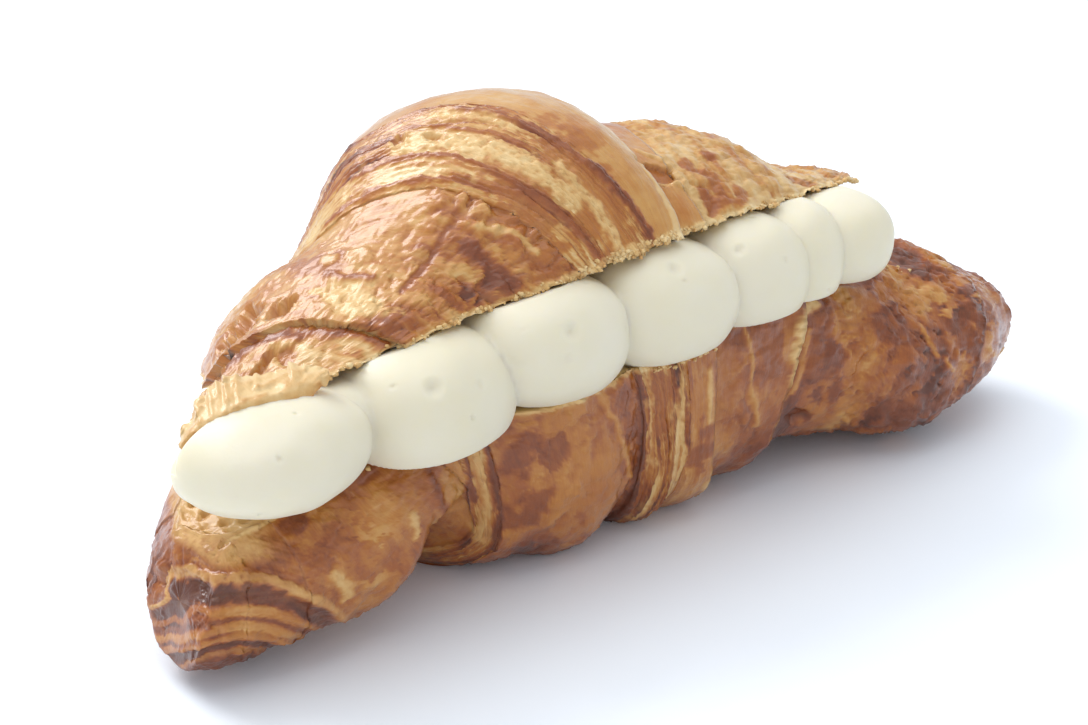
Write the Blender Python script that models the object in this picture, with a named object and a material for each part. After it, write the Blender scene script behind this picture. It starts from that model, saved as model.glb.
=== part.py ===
"""Cream-filled croissant.

A crescent roll of laminated dough, cut along its length.  The lid leans back
about the uncut rear edge, and seven piped bulbs of cream fill the mouth.
Dimensions are in millimetres, +X runs along the roll, -Y is the cream side.
"""
import math

import bmesh
import bpy
import numpy as np

MM = 0.001

# The roll.  Stations run along X, from the near tip to the far tip.
NEAR_END = ((112, 180, 240, 300, 345, 395, 428), (-86.0, -91.0, -91.5, -91.5, -90.5, -87.5, -84.5))
FAR_END = ((112, 180, 240, 300, 428), (94.5, 95.5, 96.0, 95.5, 94.5))
SPINE_X = (-88, -60, -30, 0, 45, 95)
SPINE_Y = (-24.5, -14, -4, 0, -4, -15)
WIDTH_X = (-88, -83, -72, -60, -48, -38, -20, 0, 15, 30, 45, 62, 78, 89, 95)
HALF_WIDTH = (12.0, 15.5, 19.5, 22.5, 23, 29, 33.5, 33.5, 32, 29, 27.5, 27, 23, 16.5, 9)
REAR_X = (-88, -72, -56, -46, -37, -26, 95)
REAR_SHARE = (0.9, 0.92, 1.12, 1.02, 0.84, 1.0, 1.0)
TOP_X = (-88, -83, -72, -60, -47, -34, -18, -4, 6, 20, 32, 42, 50, 60, 68, 78, 89, 95)
TOP_Z = (
    21, 27, 32.3, 38.5, 47.5, 60.0, 65.6, 63.6, 57.2, 55.6, 51.0, 44.6, 41.4, 38.7,
    34.2, 32.6, 28.0, 24.4,
)
SOLE_X = (-88, -84, -79, -66, -56, -48, -41, 0, 22, 34, 54, 66, 82, 95)
SOLE_Z = (1.2, 0.4, 1.2, 4.5, 7.5, 6.0, -0.6, -0.8, -0.6, 3, 3, -0.4, 4, 10)
UPPER_POWER = 2.1
LOWER_X = (-88, -64, -46, -30, 95)
LOWER_POWER = (2.1, 2.0, 2.4, 2.6, 2.6)

# The cut and the lid's lift.
CUT_X = (-90, -75, -60, -40, -15, 0, 20, 35, 50, 60, 64, 72)
CUT_Z = (25.5, 28.4, 30.6, 32, 34, 35.5, 37, 37.5, 37.5, 37.0, 39, 42)
FLOOR_X = (-90, -78, -68, -40, -24, 0, 20, 45, 62, 70)
FLOOR_RISE = (-4.0, -1.5, 0.5, 0.4, 1.2, 0.6, 1.0, 1.8, 1.5, 0)
HINGE_Y = 28.0
LIFT_X = (-88, -60, -20, 0, 70)
LIFT_DEG = (12.0, 15.5, 18.0, 18.3, 18.3)
GAP = 0.35
LID_NEAR = ((0, 180), (-79.0, -81.5))
LID_FAR = ((0, 60, 100, 180), (52.0, 55.0, 59.5, 61.0))

# Edges of the dough's wraps: angle round the section (0 rear, 90 top,
# 180 front, 270 sole) against station.
LID_EDGES = (
    ((0, 60, 80, 90, 120, 180), (-66, -67, -65.5, -62.5, -60.6, -56)),
    ((0, 60, 80, 110, 135, 165, 180), (-46, -47, -44, -40, -36, -28, -24)),
    ((0, 60, 80, 110, 130, 160, 180), (-31, -31, -29, -22, -18, -10, -4)),
    ((0, 60, 90, 140, 160, 180), (5, 1, 0, 0.5, 2.5, 1.5)),
    ((0, 60, 90, 140, 180), (18, 14, 12, 10, 12.5)),
)
BASE_EDGES = (
    ((100, 150, 190, 225, 270, 400), (-84.0, -86, -87, -86, -86, -84.5)),
    ((100, 150, 190, 225, 270, 400), (-80.0, -81.0, -80, -78, -78, -80.0)),
    ((100, 150, 180, 200, 220, 270, 400), (-63, -59, -52, -48, -44.5, -46, -62)),
    ((100, 150, 180, 205, 225, 270, 400), (-54, -50, -45.5, -43, -41, -42, -52)),
    ((100, 150, 180, 200, 230, 270, 400), (-26, -20, -13, -10, -7, -3, -20)),
    ((100, 150, 180, 205, 230, 270, 400), (-8, -2, 2, 3.4, 4.5, 8, -6)),
    ((100, 150, 180, 200, 225, 270, 400), (9, 9.5, 9, 9.5, 13, 17, 8)),
    ((100, 150, 190, 205, 225, 270, 400), (38, 36, 31, 29, 27, 27, 36)),
    ((100, 150, 190, 225, 270, 400), (86, 84, 80, 78, 78, 84)),
)
# Each band between two edges: relief at its start, at its end, crown in its
# middle, number of leaf ridges, their height, and rings along it.
LID_BANDS = (
    (-0.3, -0.9, 0.6, 0, 0.0, 6),
    (0.9, -0.9, 0.9, 0, 0.0, 6),
    (-0.7, 0.7, 0.2, 4, 0.45, 12),
    (0.7, 1.3, 0.3, 0, 0.0, 7),
    (-1.3, 0.2, 0.5, 0, 0.0, 5),
    (-0.5, 0.0, 0.4, 0, 0.0, 9),
)
BASE_BANDS = (
    (0.0, 0.2, 0.0, 0, 0.0, 5),
    (0.2, 0.6, 0.0, 0, 0.0, 6),
    (0.9, -1.0, 0.5, 0, 0.0, 6),
    (-0.5, 0.5, 0.2, 2, 0.4, 6),
    (0.8, -1.2, 1.0, 0, 0.0, 8),
    (-0.7, 1.4, 0.1, 3, 0.45, 9),
    (1.4, 1.6, 0.0, 1, 0.3, 4),
    (-0.8, 0.6, 0.3, 0, 0.0, 6),
    (-1.3, 0.3, 0.9, 0, 0.0, 11),
    (-0.4, -0.2, 0.2, 0, 0.0, 4),
)
# Bulges and hollows of the roll: station, angle, half length, half angle, rise.
LID_BULGES = (
    (-77, 30, 9, 60, -1.2),
    (-66, 28, 8, 40, -2.4),
    (-53, 55, 7, 45, 1.6),
    (-40, 42, 12, 50, -1.8),
)
BASE_BULGES = (
    (-90, 238, 20, 60, 1.0),
    (-82, 396, 12, 46, -3.2),
    (-71, 226, 9, 44, 1.8),
    (-63, 224, 8, 40, 3.2),
    (-52, 235, 9, 42, -3.8),
    (-20, 232, 13, 44, 2.6),
    (-3, 232, 8, 46, 3.2),
    (10, 232, 8, 40, 1.6),
    (29, 235, 7, 40, 1.6),
    (86, 212, 11, 40, 1.2),
)
# Folds of the rolled dough at the near end, as arches on its face: the face's
# foot, its direction along X and Y, and each arch's radius and step down.
FOLD_FOOT = (-85.1, -30.6)
FOLD_ALONG = (0.89, -0.455)
FOLDS = ((19.3, 1.1), (10.6, 0.9))
FOLD_LIMITS = (-70.0, -64.0)
EDGE_SHARE = 0.03
ROUND_STEPS = 25
CUT_STEPS = 8

# The cream: centre, half length, half depth, half height and yaw of each bulb.
BULBS = (
    (-76.2, -31.2, 37.8, 15.8, 13.6, 8.2, 24),
    (-47.0, -27.5, 37.2, 15.6, 13.4, 11.4, 20),
    (-24.0, -27.6, 42.4, 14.2, 13.2, 10.6, 10),
    (0.0, -26.5, 43.2, 14.2, 13.3, 11.0, 0),
    (20.0, -25.0, 44.0, 12.2, 12.3, 10.6, -3),
    (32.4, -24.6, 44.4, 8.8, 10.8, 10.2, -5),
    (43.8, -25.0, 45.8, 9.6, 10.8, 8.4, -6),
)
BULB_POWER = 2.3
CORE_SLOPE = 0.05
LIP = 2.4
CREAM_RINGS = 78
BULB_STEPS = 15
WEDGE_RUN = (0.35, 0.65, 0.88, 1.0)
WEDGE_BACK = 12.0
BLUNT_REACH = 26.0
THIN = 0.2
CAP_STEPS = 2

CRUST = ("croissant_crust", (0.56, 0.27, 0.08, 1.0), 0.42)
LID_CRUST = ("croissant_lid_crust", (0.66, 0.36, 0.13, 1.0), 0.40)
CREAM = ("cream_filling", (0.90, 0.88, 0.76, 1.0), 0.45)


def curve(stations, values):
    """Smooth curve through the given points that never overshoots them."""
    xs = np.array(stations, float)
    ys = np.array(values, float)
    rise = np.diff(ys) / np.diff(xs)
    slope = np.zeros_like(ys)
    left, right = rise[:-1], rise[1:]
    same = left * right > 0
    total = np.where(same, left + right, 1.0)
    slope[1:-1] = np.where(same, 2 * left * right / total, 0.0)
    slope[0] = rise[0]
    slope[-1] = rise[-1]

    def value(x):
        x = np.clip(x, xs[0], xs[-1])
        i = np.clip(np.searchsorted(xs, x, side="right") - 1, 0, len(xs) - 2)
        h = xs[i + 1] - xs[i]
        t = (x - xs[i]) / h
        a = ys[i] * (2 * t**3 - 3 * t**2 + 1) + h * slope[i] * (t**3 - 2 * t**2 + t)
        b = ys[i + 1] * (3 * t**2 - 2 * t**3) + h * slope[i + 1] * (t**3 - t**2)
        return a + b

    return value


def soft_curve(stations, values, reach=2.5):
    """The same curve, averaged over a short reach to either side."""
    exact = curve(stations, values)

    def value(x):
        return (exact(x) + exact(x - reach) + exact(x + reach)) / 3

    return value


spine = soft_curve(SPINE_X, SPINE_Y)
half_width = soft_curve(WIDTH_X, HALF_WIDTH)
rear_share = soft_curve(REAR_X, REAR_SHARE)
lower_power = soft_curve(LOWER_X, LOWER_POWER)
top_height = soft_curve(TOP_X, TOP_Z)
sole_height = soft_curve(SOLE_X, SOLE_Z)
cut_height = soft_curve(CUT_X, CUT_Z, 1.5)
floor_rise = soft_curve(FLOOR_X, FLOOR_RISE)
lift_angle = soft_curve(LIFT_X, LIFT_DEG)


def roll_point(x, angle, relief):
    """Point of the closed roll at station x and angle (degrees)."""
    top = top_height(x)
    sole = sole_height(x)
    middle = sole + (top - sole) * 0.5
    c = np.cos(np.radians(angle))
    s = np.sin(np.radians(angle))
    power = np.where(s > 0, UPPER_POWER, lower_power(x))
    reach = (np.abs(c) ** power + np.abs(s) ** power) ** (-1 / power)
    side = half_width(x) * reach * c * np.where(c > 0, rear_share(x), 1.0)
    rise = np.where(s > 0, top - middle, middle - sole) * reach * s
    grow = 1 + relief / np.maximum(np.hypot(side, rise), 1.0)
    side = side * grow
    height = np.maximum(middle + rise * grow, 0.0)
    bend = spine(x + 0.5) - spine(x - 0.5)
    length = np.sqrt(1 + bend * bend)
    return x - side * bend / length, spine(x) + side / length, height


def cut_floor(x, y):
    """Height of the base's cut face, pressed down behind the hinge line."""
    behind = np.maximum(y - HINGE_Y, 0.0)
    before = np.clip((10.0 - y) / 34.0, 0.0, 1.0)
    press = behind * np.tan(np.radians(lift_angle(x)))
    return cut_height(x) - GAP - press + floor_rise(x) * before


def lift(x, y, z):
    """Lean the lid back about the hinge line."""
    turn = np.radians(lift_angle(x))
    hinge_z = cut_height(x)
    dy = y - HINGE_Y
    dz = z - hinge_z
    lifted_y = HINGE_Y + dy * np.cos(turn) + dz * np.sin(turn)
    lifted_z = hinge_z - dy * np.sin(turn) + dz * np.cos(turn)
    return x, lifted_y, lifted_z


def lid_ceiling(x, y):
    """Height of the lid's cut face after the lift."""
    return cut_height(x) + (HINGE_Y - y) * np.tan(np.radians(lift_angle(x)))


def lid_front(x):
    """Where the lifted lid's cut edge runs along the cream side."""
    top = top_height(x)
    middle = (top + sole_height(x)) * 0.5
    share = np.clip((cut_height(x) - middle) / (top - middle), 0.0, 1.0)
    side = half_width(x) * (1 - share**UPPER_POWER) ** (1 / UPPER_POWER)
    turn = np.radians(lift_angle(x))
    return HINGE_Y + (spine(x) - side - HINGE_Y) * np.cos(turn)


def band_rings(bands):
    """Band coordinates of the rings, close together at each wrap's edge."""
    rings = []
    for number, band in enumerate(bands):
        count = band[5]
        for k in range(count + 1):
            share = k / count
            share = EDGE_SHARE + (1 - 2 * EDGE_SHARE) * share
            rings.append((number, share))
    return rings


def swell(bulges, station, angle):
    """Rise of the roll over its smooth section where it bulges or sinks."""
    total = 0.0 * station
    for place, turn, length, reach, rise in bulges:
        far = ((station - place) / length) ** 2 + ((angle - turn) / reach) ** 2
        total = total + rise * np.clip(1 - far, 0.0, 1.0) ** 2
    return total


def fold_radius(x, y, z):
    """Distance from the foot of the near end's face, measured across it."""
    along = (x - FOLD_FOOT[0]) * FOLD_ALONG[0] + (y - FOLD_FOOT[1]) * FOLD_ALONG[1]
    return np.hypot(along, z)


def fold_relief(x, y, z):
    """How far the face steps down inside each arch."""
    radius = fold_radius(x, y, z)
    start, stop = FOLD_LIMITS
    near = np.clip((stop - x) / (stop - start), 0.0, 1.0)
    total = 0.0 * x
    for arch, step in FOLDS:
        total = total - step * np.clip(arch - radius, 0.0, 1.0)
    return total * near


def band_relief(band, share):
    """Rise of the crust over the bulged roll across one band."""
    start, end, crown, ridges, ridge_height, _ = band
    rise = start + (end - start) * share + crown * math.sin(math.pi * share)
    if ridges:
        rise += ridge_height * math.cos(2 * math.pi * ridges * share)
    return rise


def edge_station(edges, near, far, number, share, angle):
    """Station of a ring where it passes the given angles."""
    lines = (near,) + edges + (far,)
    start = curve(*lines[number])(angle)
    end = curve(*lines[number + 1])(angle)
    return start * (1 - share) + end * share


def cut_angle(edges, near, far, ring, band, bulges, height, start, stop):
    """Angle, from start to stop, where the ring comes down to the cut."""
    angles = np.linspace(start, stop, 361)
    stations = edge_station(edges, near, far, ring[0], ring[1], angles)
    relief = band_relief(band, ring[1]) + swell(bulges, stations, angles)
    x, y, z = roll_point(stations, angles, relief)
    below = np.nonzero(z <= height(x, y))[0]
    if len(below) == 0:
        return stop
    k = below[0]
    if k == 0:
        return angles[0]
    a = z[k - 1] - height(x[k - 1], y[k - 1])
    b = height(x[k], y[k]) - z[k]
    return angles[k - 1] + (angles[k] - angles[k - 1]) * a / (a + b)


def base_ring(ring):
    """Closed section of the base: round the sole, then over the cut face."""
    band = BASE_BANDS[ring[0]]
    ends = (BASE_EDGES, NEAR_END, FAR_END)
    front = cut_angle(*ends, ring, band, BASE_BULGES, cut_floor, 112.0, 200.0)
    rear = cut_angle(*ends, ring, band, BASE_BULGES, cut_floor, 428.0, 340.0)
    angles = np.linspace(front, rear, ROUND_STEPS + 1)
    stations = edge_station(*ends, ring[0], ring[1], angles)
    relief = band_relief(band, ring[1]) + swell(BASE_BULGES, stations, angles)
    relief = relief + fold_relief(*roll_point(stations, angles, relief))
    x, y, z = roll_point(stations, angles, relief)
    over = np.linspace(rear - 360, front, CUT_STEPS + 2)[1:-1]
    ends_mix = np.linspace(0, 1, CUT_STEPS + 2)[1:-1]
    over_x = stations[-1] * (1 - ends_mix) + stations[0] * ends_mix
    ox, oy, oz = roll_point(over_x, over, band_relief(band, ring[1]))
    oz = np.minimum(oz, cut_floor(ox, oy))
    return np.concatenate([x, ox]), np.concatenate([y, oy]), np.concatenate([z, oz])


def lid_ring(ring):
    """Closed section of the lid: over the top, then back under the cut."""
    band = LID_BANDS[ring[0]]
    ends = (LID_EDGES, LID_NEAR, LID_FAR)

    def level(x, y):
        return cut_height(x)

    front = cut_angle(*ends, ring, band, LID_BULGES, level, 95.0, 200.0)
    rear = cut_angle(*ends, ring, band, LID_BULGES, level, 85.0, -20.0)
    angles = np.linspace(rear, front, ROUND_STEPS + 1)
    stations = edge_station(*ends, ring[0], ring[1], angles)
    relief = band_relief(band, ring[1]) + swell(LID_BULGES, stations, angles)
    x, y, z = roll_point(stations, angles, relief)
    mix = np.linspace(0, 1, CUT_STEPS + 2)[1:-1]
    ux = x[-1] * (1 - mix) + x[0] * mix
    uy = y[-1] * (1 - mix) + y[0] * mix
    uz = cut_height(ux)
    return lift(
        np.concatenate([x, ux]), np.concatenate([y, uy]), np.concatenate([z, uz])
    )


def bulb_inside(x, y, z):
    """Less than one inside any bulb."""
    nearest = np.full_like(x, 99.0)
    for bx, by, bz, length, depth, height, yaw in BULBS:
        c = math.cos(math.radians(yaw))
        s = math.sin(math.radians(yaw))
        along = ((x - bx) * c + (y - by) * s) / length
        across = ((y - by) * c - (x - bx) * s) / depth
        up = (z - bz) / height
        size = np.abs(along) ** BULB_POWER + np.abs(across) ** BULB_POWER
        size = (size + np.abs(up) ** BULB_POWER) ** (1 / BULB_POWER)
        nearest = np.minimum(nearest, size)
    return nearest


def bulb_reach(bulb):
    """How far a bulb reaches along X from its centre."""
    power = BULB_POWER / (BULB_POWER - 1)
    along = abs(bulb[3] * math.cos(math.radians(bulb[6]))) ** power
    across = abs(bulb[4] * math.sin(math.radians(bulb[6]))) ** power
    return (along + across) ** (1 / power)


def cream_stations():
    """Stations of the cream's rings, closer together toward both ends."""
    near = BULBS[0][0] - bulb_reach(BULBS[0]) + 0.1
    far = BULBS[-1][0] + bulb_reach(BULBS[-1]) - 0.1
    share = np.linspace(0, 1, CREAM_RINGS)
    share = share - 0.5 * np.sin(2 * math.pi * share) / (2 * math.pi)
    return near + (far - near) * share


def cream_ring(x, near, far):
    """Closed section of the cream: round the bulb, then back to the wedge."""
    centres = [bulb[0] for bulb in BULBS]
    core_y = float(curve(centres, [bulb[1] for bulb in BULBS])(x))
    core_z = float(curve(centres, [bulb[2] for bulb in BULBS])(x))
    core_y += CORE_SLOPE * min(x - centres[0], 0.0)
    angles = np.radians(np.linspace(90, 270, BULB_STEPS))
    low = np.zeros_like(angles)
    high = np.full_like(angles, 24.0)
    for _ in range(30):
        middle = (low + high) / 2
        y = core_y + middle * np.cos(angles)
        z = core_z + middle * np.sin(angles)
        inside = bulb_inside(np.full_like(y, x), y, z) < 1
        low = np.where(inside, middle, low)
        high = np.where(inside, high, middle)
    end = min(x - near, far - x) + 0.1
    fill = 6.5 * math.sqrt(min(end / 16.0, 1.0))
    reach = np.maximum(low, fill)
    y = core_y + reach * np.cos(angles)
    z = core_z + reach * np.sin(angles)
    floor = cut_floor(x, y) + GAP
    ahead = np.maximum(lid_front(x) - LIP - y, 0.0)
    ceiling = lid_ceiling(x, y) - GAP + 2.5 * ahead
    z = np.minimum(np.maximum(z, floor), np.maximum(ceiling, floor + 0.6))
    back = min(spine(x) + half_width(x) * 0.55, WEDGE_BACK)
    back = core_y + (back - core_y) * math.sqrt(min(end / 14.0, 1.0))
    back = max(back, core_y + reach[0] * 0.7)
    run = core_y + (back - core_y) * np.array(WEDGE_RUN)
    blunt = max(1 - end / BLUNT_REACH, 0.0)
    shrink = (1 - np.array(WEDGE_RUN) ** BULB_POWER) ** (1 / BULB_POWER)
    shrink = 1 - blunt * (1 - shrink)
    bed = cut_floor(x, run) + GAP
    roof = lid_ceiling(x, run) - GAP
    level = np.clip(core_z, bed + THIN, np.maximum(roof - THIN, bed + THIN))
    under = np.maximum(bed, level + (z[-1] - core_z) * shrink)
    under = np.minimum(under, level - THIN)
    over = np.minimum(roof, level + (z[0] - core_z) * shrink)
    over = np.maximum(over, level + THIN)
    y = np.concatenate([y, run, run[::-1]])
    z = np.concatenate([z, under, over[::-1]])
    return np.full_like(y, x), y, z


def loft(name, rings, domes, material, collection):
    """Closed solid through the rings, with a dome over each end."""
    mesh = bmesh.new()
    loops = []
    for x, y, z in rings:
        points = zip(x - CENTRE_X, y - CENTRE_Y, z)
        loops.append([mesh.verts.new((a * MM, b * MM, c * MM)) for a, b, c in points])
    count = len(loops[0])
    for first, second in zip(loops, loops[1:]):
        for k in range(count):
            n = (k + 1) % count
            mesh.faces.new((first[k], second[k], second[n]))
            mesh.faces.new((first[k], second[n], first[n]))
    for loop, dome in zip((loops[0], loops[-1]), domes):
        centre = sum((v.co for v in loop), loop[0].co * 0) / count
        outer = loop
        for step in range(1, CAP_STEPS + 1):
            turn = math.pi / 2 * step / (CAP_STEPS + 1)
            inner = []
            for v in loop:
                point = centre + (v.co - centre) * math.cos(turn)
                point.x += dome * MM * math.sin(turn)
                inner.append(mesh.verts.new(point))
            for k in range(count):
                n = (k + 1) % count
                mesh.faces.new((outer[k], inner[k], inner[n]))
                mesh.faces.new((outer[k], inner[n], outer[n]))
            outer = inner
        middle = mesh.verts.new(centre)
        middle.co.x += dome * MM
        for k in range(count):
            mesh.faces.new((middle, outer[k], outer[(k + 1) % count]))
    bmesh.ops.recalc_face_normals(mesh, faces=mesh.faces)
    data = bpy.data.meshes.new(name)
    mesh.to_mesh(data)
    mesh.free()
    data.shade_smooth()
    data.materials.append(make_material(*material))
    item = bpy.data.objects.new(name, data)
    collection.objects.link(item)
    return item


def make_material(name, colour, roughness):
    material = bpy.data.materials.new(name)
    material.use_nodes = True
    shader = material.node_tree.nodes["Principled BSDF"]
    shader.inputs["Base Color"].default_value = colour
    shader.inputs["Roughness"].default_value = roughness
    shader.inputs["Metallic"].default_value = 0.0
    return material


# Middle of the whole food's outline, seen from above.
CENTRE_X = 2.49
CENTRE_Y = -5.259


def main():
    for item in list(bpy.data.objects):
        bpy.data.objects.remove(item, do_unlink=True)
    collection = bpy.data.collections.new("cream_filled_croissant")
    bpy.context.scene.collection.children.link(collection)
    base = [base_ring(ring) for ring in band_rings(BASE_BANDS)]
    loft("croissant_base", base, (-1.5, 2.0), CRUST, collection)
    lid = [lid_ring(ring) for ring in band_rings(LID_BANDS)]
    loft("croissant_lid", lid, (-0.5, 0.5), LID_CRUST, collection)
    stations = cream_stations()
    cream = [cream_ring(float(x), stations[0], stations[-1]) for x in stations]
    loft("cream", cream, (-0.2, 0.2), CREAM, collection)


main()
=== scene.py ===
"""Looks of the cream-filled croissant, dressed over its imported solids.

The crust, the lid and the cream are lofted again from the roll's own curves,
this time finely enough to carry the leaves, blisters, cracks, pits and ragged
cut edges of baked laminated dough.  Lengths are in millimetres until a mesh is
made, +X runs along the roll, and angles go round it: 0 rear, 90 top, 180 front.
"""
import math
from itertools import product

import bpy
import numpy as np
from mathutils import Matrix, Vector


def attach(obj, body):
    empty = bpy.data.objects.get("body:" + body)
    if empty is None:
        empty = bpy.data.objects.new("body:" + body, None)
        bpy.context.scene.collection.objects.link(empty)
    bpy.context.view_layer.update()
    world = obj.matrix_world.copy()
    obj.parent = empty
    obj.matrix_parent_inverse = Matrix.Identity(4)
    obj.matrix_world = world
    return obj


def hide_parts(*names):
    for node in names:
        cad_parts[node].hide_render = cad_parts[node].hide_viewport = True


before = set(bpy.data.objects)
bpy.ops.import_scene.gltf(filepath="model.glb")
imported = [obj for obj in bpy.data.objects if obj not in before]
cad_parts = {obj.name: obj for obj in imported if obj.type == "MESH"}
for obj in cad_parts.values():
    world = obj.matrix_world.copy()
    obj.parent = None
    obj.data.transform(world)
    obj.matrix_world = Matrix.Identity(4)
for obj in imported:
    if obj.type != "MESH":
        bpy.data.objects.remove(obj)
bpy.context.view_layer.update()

MM = 0.001

# The roll, as in the part.
NEAR_END = ((112, 180, 240, 300, 345, 395, 428), (-86, -91, -91.5, -91.5, -90.5, -87.5, -84.5))
FAR_END = ((112, 180, 240, 300, 428), (94.5, 95.5, 96, 95.5, 94.5))
UPPER_POWER = 2.1
HINGE_Y = 28
GAP = 0.35
# Where the base's cut starts to change its height toward the front, and over
# what run.
FLOOR_EDGE = 10
FLOOR_RUN = 34
# Middle of the part's outline, which stands at the origin.
CENTRE_X = 2.49
CENTRE_Y = -5.259

# Edges of the dough's wraps: angle round the section against station.
LID_EDGES = (
    ((0, 180), (-79, -81.5)),
    ((0, 60, 80, 90, 120, 180), (-66, -67, -65.5, -62.5, -60.6, -56)),
    ((0, 60, 80, 110, 135, 165, 180), (-46, -47, -44, -40, -36, -28, -24)),
    ((0, 60, 80, 110, 130, 160, 180), (-31, -31, -29, -22, -18, -10, -4)),
    ((0, 60, 90, 140, 160, 180), (5, 1, 0, 0.5, 2.5, 1.5)),
    ((0, 60, 90, 140, 180), (18, 14, 12, 10, 12.5)),
    ((0, 60, 100, 180), (52, 55, 59.5, 61)),
)
BASE_EDGES = (
    NEAR_END,
    ((100, 150, 190, 225, 270, 400), (-84, -86, -87, -86, -86, -84.5)),
    ((100, 150, 190, 225, 270, 400), (-80, -81, -80, -78, -78, -80)),
    ((100, 150, 180, 200, 220, 270, 400), (-63, -59, -52, -48, -44.5, -46, -62)),
    ((100, 150, 180, 205, 225, 270, 400), (-54, -50, -45.5, -43, -41, -42, -52)),
    ((100, 150, 180, 200, 230, 270, 400), (-26, -20, -13, -10, -7, -3, -20)),
    ((100, 150, 180, 205, 230, 270, 400), (-8, -2, 2, 3.4, 4.5, 8, -6)),
    ((100, 150, 180, 200, 225, 270, 400), (9, 9.5, 9, 9.5, 13, 17, 8)),
    ((100, 150, 190, 205, 225, 270, 400), (38, 36, 31, 29, 27, 27, 36)),
    ((100, 150, 190, 225, 270, 400), (86, 84, 80, 78, 78, 84)),
    FAR_END,
)
# Each band between two edges: relief at its start, at its end, crown in its
# middle, rings, toast, and how strongly its layers show.
LID_BANDS = (
    (-0.3, -0.9, 0.6, 40, 0.32, 0.45),
    (0.9, -0.9, 0.9, 66, 0.4, 0.3),
    (-0.7, 0.7, 0.2, 122, 0.34, 1),
    (0.7, 1.3, 0.3, 68, 0.3, 0.08),
    (-1.3, 0.2, 0.5, 40, 0.42, 0.06),
    (-0.5, 0, 0.4, 80, 0.24, 0.4),
)
BASE_BANDS = (
    (0, 0.2, 0, 18, 0.5, 0),
    (0.2, 0.6, 0, 24, 0.5, 0.12),
    (0.9, -1, 0.5, 68, 0.5, 0.1),
    (-0.5, 0.5, 0.2, 36, 0.42, 0.95),
    (0.8, -1.2, 1, 70, 0.6, 0.05),
    (-0.7, 1.4, 0.1, 60, 0.48, 0.95),
    (1.4, 1.6, 0, 30, 0.5, 0.4),
    (-0.8, 0.6, 0.3, 38, 0.58, 0.06),
    (-1.3, 0.3, 0.9, 74, 0.64, 0.06),
    (-0.4, -0.2, 0.2, 18, 0.6, 0.25),
)
# Bulges and hollows of the roll: station, angle, half length, half angle, rise.
LID_BULGES = (
    (-77, 30, 9, 60, -1.2),
    (-66, 28, 8, 40, -2.4),
    (-53, 55, 7, 45, 1.6),
    (-40, 42, 12, 50, -1.8),
)
BASE_BULGES = (
    (-90, 238, 20, 60, 1),
    (-82, 396, 12, 46, -3.2),
    (-71, 226, 9, 44, 1.8),
    (-63, 224, 8, 40, 3.2),
    (-52, 235, 9, 42, -3.8),
    (-20, 232, 13, 44, 2.6),
    (-3, 232, 8, 46, 3.2),
    (10, 232, 8, 40, 1.6),
    (29, 235, 7, 40, 1.6),
    (86, 212, 11, 40, 1.2),
)
# Folds of the rolled dough at the near end, as arches on its face.
FOLD_FOOT = (-85.1, -30.6)
FOLD_ALONG = (0.89, -0.455)
FOLDS = ((19.3, 1.1), (10.6, 0.9))
FOLD_LIMITS = (-70, -64)
# How far behind the face the folds' bands go on.
FACE_DEEP = 13
# How far each end stands out, how many rings close it, how far back from the
# near end the base narrows and by how much.
LID_DOMES = (-0.5, 0.5)
BASE_DOMES = (-2.8, 2.4)
LID_CAPS = (8, 8)
BASE_CAPS = (34, 10)
END_ROUND = 6
END_TUCK = 1.3
# Points of a ring over the crust, and over the cut.
LID_ROUND = 194
LID_UNDER = 26
BASE_ROUND = 172
BASE_OVER = 32
# Share of the crust and of the cut in the middle of an end.
FACE_WEIGHTS = (26, 8)
# Angles searched for the cut, at the front and at the rear.
LID_SEARCH = ((95, 200), (85, -20))
BASE_SEARCH = ((112, 200), (428, 340))
# Angle at which the layers of a band are counted.
LID_MIDDLE = 150
BASE_MIDDLE = 190
# Length on the crust of one degree, and a length beyond all others.
ARC = 0.5
FAR = 99.0

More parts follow.
